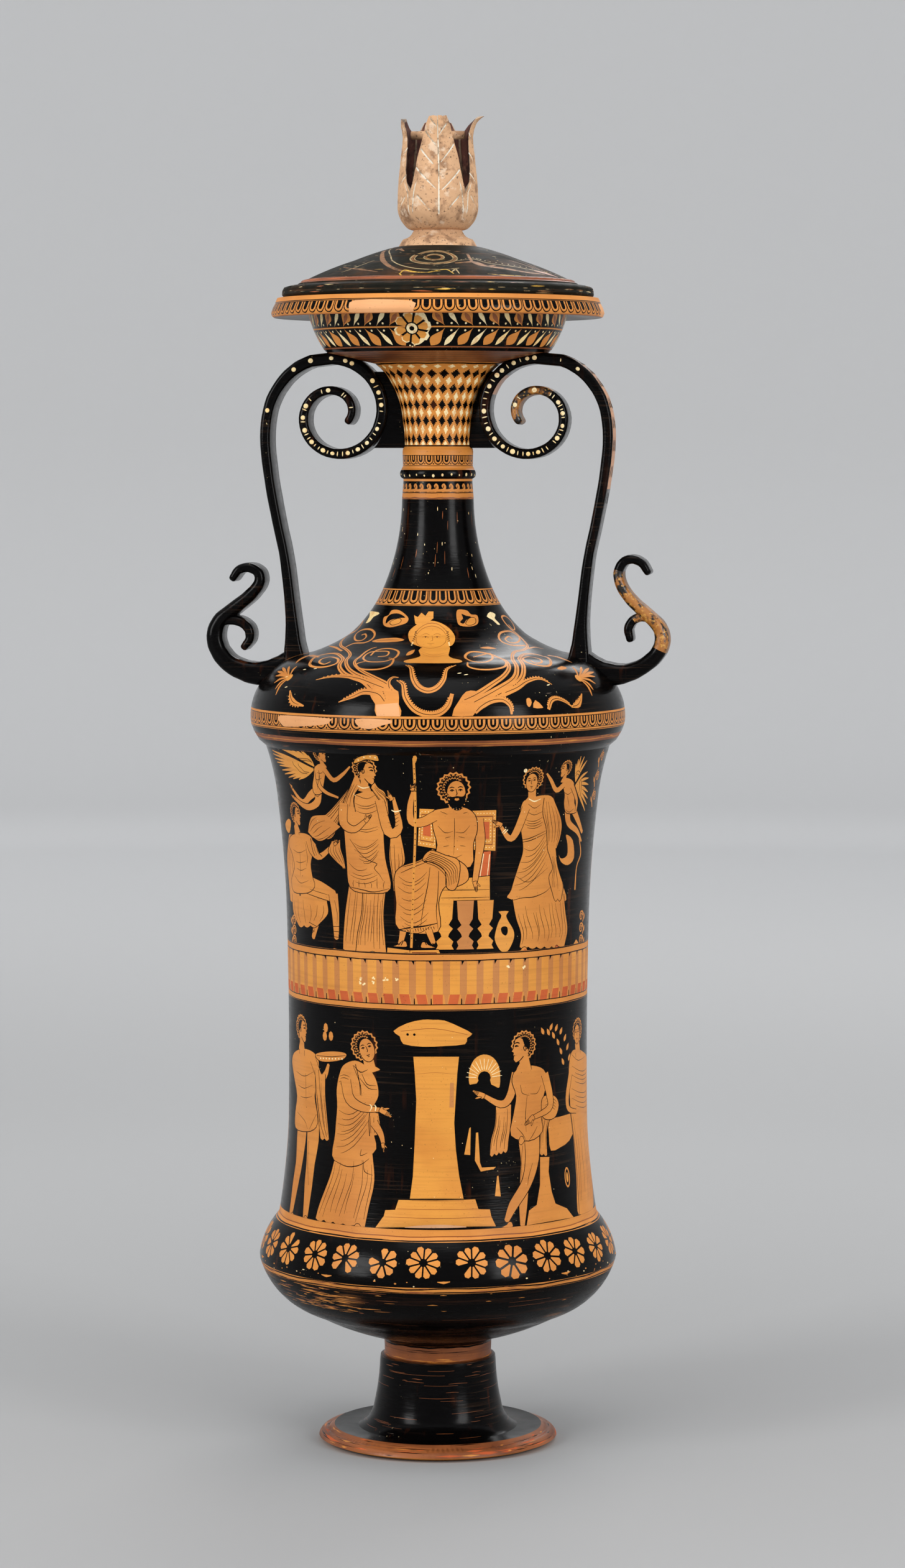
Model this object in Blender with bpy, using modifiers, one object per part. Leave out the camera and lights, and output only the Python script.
"""Tall painted water vase with a lid, in red-figure pottery.

Three pieces: the vase, fired in one with its handles, the lid with its open leaf bud, and the rod in the bud.
Metres, +Z up. The origin is the centre of the foot's underside. The handles lie along X and the main
painted side faces -Y. The vase is hollow, its walls are as thick as the potter left them.
"""

import math

import bmesh
import bpy
from mathutils import Vector

MM = 0.001

# Driving dimensions, in millimetres
FOOT_RADIUS = 79.2
FOOT_RING_WIDTH = 16.0
STEM_TOP = 55.3
BODY_FLOOR = 73.0
BULGE_RADIUS = 119.1
BULGE_HEIGHT = 123.0
WAIST_RADIUS = 99.7
SHOULDER_RADIUS = 125.1
SHOULDER_HEIGHT = 481.0
NECK_RADIUS = 22.1
NECK_HEIGHT = 662.0
BOWL_FLOOR = 725.0
MOUTH_RADIUS = 111.2
MOUTH_TOP = 760.8
WALL = 7.0
GAP = 0.3

LID_RADIUS = 103.7
LID_SEAT = MOUTH_TOP + GAP
DOME_TOP = 795.5
BUD_RADIUS = 26.2
BUD_HEIGHT = 826.0
LEAF_TOP = 883.0
LEAF_THICKNESS = 2.8

ROD_DIAMETER = 5.8
ROD_HEIGHT = 870.0

STRAP_DEPTH = 30.0
SCROLL_DEPTH = 27.0
CURL_DEPTH = 24.0

VASE_SEGMENTS = 32
LID_SEGMENTS = 32
ROD_SEGMENTS = 12

BLACK_GLOSS = (0.022, 0.018, 0.016)
LID_GLOSS = (0.050, 0.034, 0.024)
PALE_CLAY = (0.62, 0.42, 0.27)


def clear_scene():
    """Take every object out of the scene."""
    for obj in list(bpy.data.objects):
        bpy.data.objects.remove(obj, do_unlink=True)


def new_collection(name):
    collection = bpy.data.collections.new(name)
    bpy.context.scene.collection.children.link(collection)
    return collection


def new_material(name, colour, roughness):
    material = bpy.data.materials.new(name)
    material.use_nodes = True
    shader = material.node_tree.nodes["Principled BSDF"]
    shader.inputs["Base Color"].default_value = (*colour, 1.0)
    shader.inputs["Roughness"].default_value = roughness
    shader.inputs["Metallic"].default_value = 0.0
    return material


def arc(start, end, sagitta, steps):
    """Points from start up to but not including end, on an arc that bulges to the left by sagitta."""
    start = Vector(start)
    end = Vector(end)
    if steps == 1 or abs(sagitta) < 1e-6:
        return [start.lerp(end, i / steps) for i in range(steps)]
    chord = (end - start).length
    radius = (chord ** 2 / 4 + sagitta ** 2) / (2 * abs(sagitta))
    along = (end - start) / chord
    side = Vector((-along.y, along.x)) * math.copysign(1.0, sagitta)
    centre = (start + end) / 2 + side * (abs(sagitta) - radius)
    first = math.atan2(start.y - centre.y, start.x - centre.x)
    last = math.atan2(end.y - centre.y, end.x - centre.x)
    turn = (last - first + math.pi) % (2 * math.pi) - math.pi
    angles = [first + turn * i / steps for i in range(steps)]
    return [centre + radius * Vector((math.cos(a), math.sin(a))) for a in angles]


def outline(stations):
    """A turned outline from stations of radius, height, sagitta to the next one and steps."""
    points = []
    for here, there in zip(stations[:-1], stations[1:]):
        points += arc(here[:2], there[:2], here[2], here[3])
    points.append(Vector(stations[-1][:2]))
    return points


def turned(name, stations, segments, collection):
    """A shape turned on the wheel: its outline swept round Z by a Screw modifier."""
    points = outline(stations)
    mesh = bpy.data.meshes.new(name)
    verts = [(p.x * MM, 0.0, p.y * MM) for p in points]
    edges = [(i, i + 1) for i in range(len(points) - 1)]
    mesh.from_pydata(verts, edges, [])
    obj = bpy.data.objects.new(name, mesh)
    collection.objects.link(obj)
    screw = obj.modifiers.new("Turned", "SCREW")
    screw.axis = "Z"
    screw.steps = segments
    screw.render_steps = segments
    screw.use_merge_vertices = True
    screw.merge_threshold = 0.00001
    screw.use_normal_calculate = True
    screw.use_smooth_shade = True
    return obj


def smooth_route(stations, steps):
    """A curve through stations of distance from the axis, height and thickness, steps to each stretch."""
    knots = [Vector(s) for s in stations]
    knots = [2 * knots[0] - knots[1], *knots, 2 * knots[-1] - knots[-2]]
    route = []
    for a, b, c, d in zip(knots, knots[1:], knots[2:], knots[3:]):
        for i in range(steps):
            t = i / steps
            pull = (c - a) * t + (2 * a - 5 * b + 4 * c - d) * t ** 2 + (3 * b - a - 3 * c + d) * t ** 3
            route.append(b + pull / 2)
    route.append(knots[-2])
    return route


def spiral(centre, start_radius, tighten, start_angle, turns, thickness, steps):
    """Stations of a scroll that winds inwards from the top of its arch, towards the neck and under."""
    stations = []
    for i in range(steps + 1):
        quarters = 4 * turns * i / steps
        radius = start_radius - tighten[0] * quarters + tighten[1] * quarters ** 2
        angle = math.radians(start_angle) - quarters * math.pi / 2
        width = thickness[0] + (thickness[1] - thickness[0]) * i / steps
        stations.append((centre[0] - radius * math.cos(angle), centre[1] + radius * math.sin(angle), width))
    return stations


def ribbon(name, side, route, depth, collection):
    """A strap standing on edge along a route in the XZ plane, on the side of the axis given by side."""
    left = []
    right = []
    for i, here in enumerate(route):
        ahead = route[min(i + 1, len(route) - 1)]
        behind = route[max(i - 1, 0)]
        along = Vector((ahead[0] - behind[0], ahead[1] - behind[1])).normalized()
        across = Vector((-along.y, along.x)) * here[2] / 2
        spot = Vector(here[:2])
        left.append(spot + across)
        right.append(spot - across)
    border = left + right[::-1]
    curve = bpy.data.curves.new(name, "CURVE")
    curve.dimensions = "2D"
    curve.fill_mode = "BOTH"
    curve.extrude = depth * MM / 2
    spline = curve.splines.new("POLY")
    spline.points.add(len(border) - 1)
    for point, place in zip(spline.points, border):
        point.co = (side * place.x * MM, place.y * MM, 0.0, 1.0)
    spline.use_cyclic_u = True
    drawn = bpy.data.objects.new(name + "_outline", curve)
    drawn.rotation_euler = (math.pi / 2, 0.0, 0.0)
    collection.objects.link(drawn)
    return as_mesh(drawn, name, collection)


def as_mesh(drawn, name, collection):
    """A curve made a mesh with its caps welded on, in the same place."""
    bpy.context.view_layer.update()
    mesh = bpy.data.meshes.new_from_object(drawn.evaluated_get(bpy.context.evaluated_depsgraph_get()))
    work = bmesh.new()
    work.from_mesh(mesh)
    bmesh.ops.remove_doubles(work, verts=work.verts, dist=1e-6)
    bmesh.ops.recalc_face_normals(work, faces=work.faces)
    work.to_mesh(mesh)
    work.free()
    obj = bpy.data.objects.new(name, mesh)
    obj.matrix_world = drawn.matrix_world
    collection.objects.link(obj)
    bpy.data.objects.remove(drawn, do_unlink=True)
    return obj


def block(name, low, high, collection):
    """A plain block between two corners, in millimetres."""
    mesh = bpy.data.meshes.new(name)
    work = bmesh.new()
    bmesh.ops.create_cube(work, size=1.0)
    size = [(b - a) * MM for a, b in zip(low, high)]
    bmesh.ops.scale(work, vec=size, verts=work.verts)
    bmesh.ops.translate(work, vec=[(a + b) * MM / 2 for a, b in zip(low, high)], verts=work.verts)
    work.to_mesh(mesh)
    work.free()
    obj = bpy.data.objects.new(name, mesh)
    collection.objects.link(obj)
    return obj


def combine(target, other, operation):
    """Join another shape to the target, or cut it out, and mark it as a helper."""
    boolean = target.modifiers.new(other.name, "BOOLEAN")
    boolean.operation = operation
    boolean.solver = "EXACT"
    boolean.object = other
    other.hide_render = True
    other.display_type = "WIRE"


# Stations are radius, height, sagitta of the arc to the next station, and steps on that arc.
# The inside runs up from the floor to the mouth, and the outside runs down from the mouth to the foot.

def vase_inside():
    body = [
        (0.0, BODY_FLOOR, 0.0, 1),
        (34.0, BODY_FLOOR + 2.0, -1.5, 1),
        (86.0, BODY_FLOOR + 24.0, -6.0, 3),
        (BULGE_RADIUS - WALL, BULGE_HEIGHT + 1.0, -1.5, 1),
        (BULGE_RADIUS - 19.0, BULGE_HEIGHT + 31.0, 1.0, 1),
        (WAIST_RADIUS - WALL, 212.0, 0.5, 1),
        (WAIST_RADIUS - WALL + 0.9, 337.0, 1.2, 2),
        (106.0, 458.0, 0.0, 1),
        (SHOULDER_RADIUS - WALL, SHOULDER_HEIGHT, -3.0, 2),
    ]
    neck = [
        (107.0, 502.0, -2.6, 1),
        (82.0, 517.0, 1.2, 1),
        (53.0, 529.0, 2.0, 2),
        (30.0, 563.0, 2.6, 2),
        (17.0, 608.0, 0.5, 1),
        (NECK_RADIUS - 6.4, NECK_HEIGHT - 12.0, 0.3, 1),
        (NECK_RADIUS - 5.4, 690.0, 2.6, 2),
    ]
    bowl = [
        (31.0, BOWL_FLOOR - 1.5, 0.0, 1),
        (66.0, BOWL_FLOOR + 6.0, -0.8, 1),
        (70.5, BOWL_FLOOR + 9.0, -1.0, 1),
        (81.5, MOUTH_TOP - 9.0, -0.5, 1),
        (86.5, MOUTH_TOP, 0.0, 1),
    ]
    return body + neck + bowl


def vase_outside():
    mouth = [
        (MOUTH_RADIUS - 3.7, MOUTH_TOP, 0.3, 1),
        (MOUTH_RADIUS - 2.4, 757.2, 0.0, 1),
        (MOUTH_RADIUS, 751.8, 0.9, 1),
        (MOUTH_RADIUS - 1.8, 747.9, 0.0, 1),
        (87.2, 751.2, 0.0, 1),
    ]
    bowl = [
        (86.6, 750.4, 1.2, 3),
        (75.8, 726.2, 0.0, 1),
        (73.8, 724.4, 0.0, 1),
    ]
    neck = [
        (42.2, 717.4, -1.0, 1),
        (31.5, 705.0, -1.6, 2),
        (23.5, 679.0, -0.4, 2),
        (NECK_RADIUS, NECK_HEIGHT, 0.0, 1),
        (NECK_RADIUS + 1.6, NECK_HEIGHT - 2.0, 0.0, 1),
        (NECK_RADIUS + 1.2, 647.0, 0.0, 1),
        (NECK_RADIUS + 2.4, 646.4, 0.9, 2),
        (NECK_RADIUS + 2.4, 641.2, 0.0, 1),
        (NECK_RADIUS + 0.9, 640.4, 0.0, 1),
        (24.0, 626.5, -3.2, 3),
    ]
    shoulder = [
        (37.3, 565.6, -2.0, 2),
        (59.2, 536.6, -1.0, 1),
        (85.8, 524.1, 3.6, 2),
        (116.4, 507.2, 2.6, 2),
        (SHOULDER_RADIUS, SHOULDER_HEIGHT, 0.5, 1),
        (SHOULDER_RADIUS - 2.1, 473.0, 0.0, 1),
        (SHOULDER_RADIUS - 5.6, 467.0, 0.0, 1),
    ]
    body = [
        (114.8, 463.0, -1.2, 2),
        (106.6, 424.0, -1.2, 2),
        (WAIST_RADIUS + 0.9, 337.0, -0.6, 1),
        (WAIST_RADIUS, 212.0, -0.9, 2),
        (106.0, 151.6, 0.0, 1),
        (107.4, 149.6, 2.2, 1),
        (BULGE_RADIUS, BULGE_HEIGHT, 6.6, 4),
        (84.0, 86.2, 1.2, 2),
        (46.0, 71.4, -1.6, 1),
        (35.8, 66.4, 0.0, 1),
    ]
    foot = [
        (35.4, STEM_TOP + 1.7, 0.0, 1),
        (38.2, STEM_TOP + 0.9, 0.0, 1),
        (38.6, STEM_TOP - 0.7, -0.8, 1),
        (42.4, 24.0, -2.4, 2),
        (53.0, 9.2, -0.3, 1),
        (69.0, 9.8, 0.0, 1),
        (72.8, 7.2, 0.0, 1),
        (74.6, 7.6, 0.9, 1),
        (FOOT_RADIUS, 3.0, 0.0, 1),
        (FOOT_RADIUS - 1.6, 0.0, 0.0, 1),
        (FOOT_RADIUS - 1.6 - FOOT_RING_WIDTH, 0.0, 0.0, 1),
    ]
    under = [
        (55.0, 3.0, 3.0, 2),
        (31.0, 24.0, 1.0, 1),
        (26.0, 52.0, -3.0, 1),
        (0.0, 60.0, 0.0, 1),
    ]
    return mouth + bowl + neck + shoulder + body + foot + under


# The main handle: distance from the axis, height and thickness along the middle of the strap, from the shoulder.
STRAP = [
    (95.5, 517.0, 15.0),
    (96.4, 530.0, 11.0),
    (97.3, 548.4, 7.6),
    (101.6, 586.0, 6.2),
    (106.8, 611.0, 6.2),
    (112.2, 640.0, 6.4),
    (115.0, 668.0, 6.6),
    (112.0, 690.0, 6.8),
    (103.5, 705.4, 7.2),
    (93.0, 714.9, 7.6),
    (81.5, 720.2, 7.8),
]

# The scroll at the top of each handle: its centre and radius at the top of the arch, left and right.
SCROLL_CENTRE = {"left": (67.9, 683.3), "right": (64.4, 683.3)}
SCROLL_RADIUS = 37.6
SCROLL_TIGHTEN = (5.93, 0.135)
SCROLL_START = 93.0
SCROLL_TURNS = 1.32
SCROLL_THICKNESS = (7.8, 4.6)

# The S-shaped scroll on the shoulder, from inside the strap's foot out to its hooked tip.
SMALL_SCROLL = {
    "left": [
        (97.0, 521.5, 12.0), (108.0, 514.5, 13.0), (118.8, 510.5, 15.0), (129.7, 511.6, 13.0),
        (140.3, 516.8, 11.4), (147.6, 525.4, 11.0), (150.2, 535.2, 11.0), (146.8, 545.0, 10.0),
        (136.8, 553.6, 9.0), (126.2, 562.0, 8.4), (119.4, 570.6, 7.4), (120.2, 577.8, 6.6),
        (126.6, 581.0, 6.2), (133.2, 579.3, 5.6), (136.8, 574.5, 4.4),
    ],
    "right": [
        (97.8, 521.5, 12.0), (107.0, 515.0, 13.0), (116.0, 511.2, 15.0), (126.5, 511.4, 12.0),
        (137.2, 515.8, 10.4), (146.8, 523.6, 9.8), (150.9, 532.8, 9.6), (148.6, 542.1, 8.6),
        (140.0, 550.7, 7.4), (130.6, 559.3, 6.8), (123.8, 568.7, 6.4), (121.7, 578.1, 6.2),
        (125.1, 585.2, 6.0), (131.0, 587.2, 6.0), (137.2, 584.6, 5.4), (141.2, 578.9, 4.4),
    ],
}

# The short curl on the inner side of the S-shaped scroll.
SHORT_CURL = {
    "left": [
        (143.5, 545.5, 5.0), (138.4, 545.8, 6.0), (131.5, 544.2, 6.0), (126.6, 539.6, 6.0), (126.0, 533.2, 5.4),
        (129.7, 527.6, 4.0),
    ],
    "right": [
        (144.5, 547.2, 5.0), (138.4, 548.8, 5.4), (131.8, 547.0, 5.6), (128.3, 541.3, 5.4), (129.2, 534.3, 4.4),
    ],
}


def make_handles(vase, helpers):
    """The strap handles with their scrolls, joined to the wall of the vase."""
    for label, side in (("left", -1.0), ("right", 1.0)):
        winding = spiral(
            SCROLL_CENTRE[label], SCROLL_RADIUS, SCROLL_TIGHTEN, SCROLL_START, SCROLL_TURNS, SCROLL_THICKNESS, 26
        )
        strap = smooth_route(STRAP, 2)[:-1] + [Vector(s) for s in winding]
        combine(vase, ribbon(label + "_handle", side, strap, STRAP_DEPTH, helpers), "UNION")
        small = smooth_route(SMALL_SCROLL[label], 2)
        combine(vase, ribbon(label + "_small_scroll", side, small, SCROLL_DEPTH, helpers), "UNION")
        curl = smooth_route(SHORT_CURL[label], 2)
        combine(vase, ribbon(label + "_short_curl", side, curl, CURL_DEPTH, helpers), "UNION")
        near = NECK_RADIUS - 2.0
        far = SCROLL_CENTRE[label][0] - SCROLL_RADIUS + SCROLL_TIGHTEN[0] + 1.0
        low = (min(side * near, side * far), -7.0, NECK_HEIGHT + 1.6)
        high = (max(side * near, side * far), 7.0, 708.0)
        combine(vase, block(label + "_bridge", low, high, helpers), "UNION")


def lid_stations():
    """The lid from the middle of its bud's floor, over the leaves and the dome, to the underside's middle."""
    bud_inside = [
        (0.0, 817.0, 0.0, 1),
        (14.0, 818.5, -3.0, 2),
        (BUD_RADIUS - LEAF_THICKNESS, BUD_HEIGHT + 2.0, -0.6, 1),
        (23.2 - LEAF_THICKNESS, 848.0, 0.7, 1),
        (21.8 - LEAF_THICKNESS, 866.0, 1.2, 2),
        (30.6, LEAF_TOP, 0.0, 1),
    ]
    bud_outside = [
        (32.0, LEAF_TOP - 0.9, -1.6, 2),
        (22.0, 866.0, -0.7, 1),
        (23.2, 848.0, 0.6, 1),
        (BUD_RADIUS, BUD_HEIGHT, 2.6, 3),
        (16.0, 808.0, -1.6, 2),
        (23.0, 799.2, 0.0, 1),
        (24.4, 799.0, 0.0, 1),
        (26.2, DOME_TOP, 0.0, 1),
    ]
    dome = [
        (31.0, DOME_TOP - 1.0, 0.4, 1),
        (56.1, 786.0, 0.7, 2),
        (88.9, 772.6, 0.0, 1),
        (93.0, 771.6, 0.0, 1),
        (93.4, 768.8, 0.0, 1),
        (101.8, 768.4, 1.2, 2),
        (LID_RADIUS - 0.9, LID_SEAT, 0.0, 1),
    ]
    underside = [
        (90.0, LID_SEAT, 0.0, 1),
        (84.0, LID_SEAT + 1.0, -0.8, 2),
        (54.0, 779.4, -0.5, 1),
        (26.0, 788.6, -0.5, 1),
        (0.0, 790.4, 0.0, 1),
    ]
    return bud_inside + bud_outside + dome + underside


# The gap between two leaves: its half width, in degrees round the bud, at heights from its foot to its top.
LEAF_GAP = [(835.5, 0.8), (838.5, 5.0), (848.0, 8.0), (858.0, 14.0), (866.0, 20.0), (874.0, 25.5), (885.0, 31.0)]


def leaf_gap(name, turn, helpers):
    """A cutter that parts two leaves, a wedge seen from the axis that widens upwards."""
    far = 45.0
    mesh = bpy.data.meshes.new(name)
    verts = []
    for height, half in LEAF_GAP:
        for reach in (6.0, far):
            for angle in (-half, half):
                a = math.radians(turn + angle)
                verts.append((reach * math.cos(a) * MM, reach * math.sin(a) * MM, height * MM))
    faces = [(0, 2, 3, 1)]
    for i in range(len(LEAF_GAP) - 1):
        a = 4 * i
        b = a + 4
        faces += [(a, a + 1, b + 1, b), (a + 1, a + 3, b + 3, b + 1), (a + 3, a + 2, b + 2, b + 3), (a + 2, a, b, b + 2)]
    last = 4 * (len(LEAF_GAP) - 1)
    faces.append((last, last + 1, last + 3, last + 2))
    mesh.from_pydata(verts, [], faces)
    work = bmesh.new()
    work.from_mesh(mesh)
    bmesh.ops.recalc_face_normals(work, faces=work.faces)
    work.to_mesh(mesh)
    work.free()
    cutter = bpy.data.objects.new(name, mesh)
    helpers.objects.link(cutter)
    return cutter


def make_vase(parts, helpers, material):
    vase = turned("vase", vase_inside() + vase_outside(), VASE_SEGMENTS, parts)
    vase.data.materials.append(material)
    make_handles(vase, helpers)
    return vase


def make_lid(parts, helpers, material):
    lid = turned("lid", lid_stations(), LID_SEGMENTS, parts)
    lid.data.materials.append(material)
    broken = block("broken_left_tip", (-40.0, -14.0, 879.4), (-15.0, 14.0, 890.0), helpers)
    combine(lid, broken, "DIFFERENCE")
    for i, turn in enumerate((45.0, 135.0, 225.0, 315.0)):
        combine(lid, leaf_gap("leaf_gap_%d" % (i + 1), turn, helpers), "DIFFERENCE")
    return lid


def make_rod(parts, material):
    """The small rod across the bud, just clear of the leaves that hold it."""
    half = (21.9 - LEAF_THICKNESS - GAP - 0.5) * MM
    mesh = bpy.data.meshes.new("finial_rod")
    work = bmesh.new()
    bmesh.ops.create_cone(
        work, cap_ends=True, segments=ROD_SEGMENTS, radius1=ROD_DIAMETER * MM / 2,
        radius2=ROD_DIAMETER * MM / 2, depth=2 * half,
    )
    work.to_mesh(mesh)
    work.free()
    mesh.shade_smooth()
    mesh.set_sharp_from_angle(angle=math.radians(40.0))
    rod = bpy.data.objects.new("finial_rod", mesh)
    rod.rotation_euler = (0.0, math.pi / 2, 0.0)
    rod.location = (0.0, 0.0, ROD_HEIGHT * MM)
    rod.data.materials.append(material)
    parts.objects.link(rod)
    return rod


def main():
    clear_scene()
    parts = new_collection("painted_vase")
    helpers = new_collection("shapes_joined_or_cut")
    make_vase(parts, helpers, new_material("gloss_pottery", BLACK_GLOSS, 0.25))
    make_lid(parts, helpers, new_material("lid_pottery", LID_GLOSS, 0.35))
    make_rod(parts, new_material("plain_clay", PALE_CLAY, 0.75))


main()
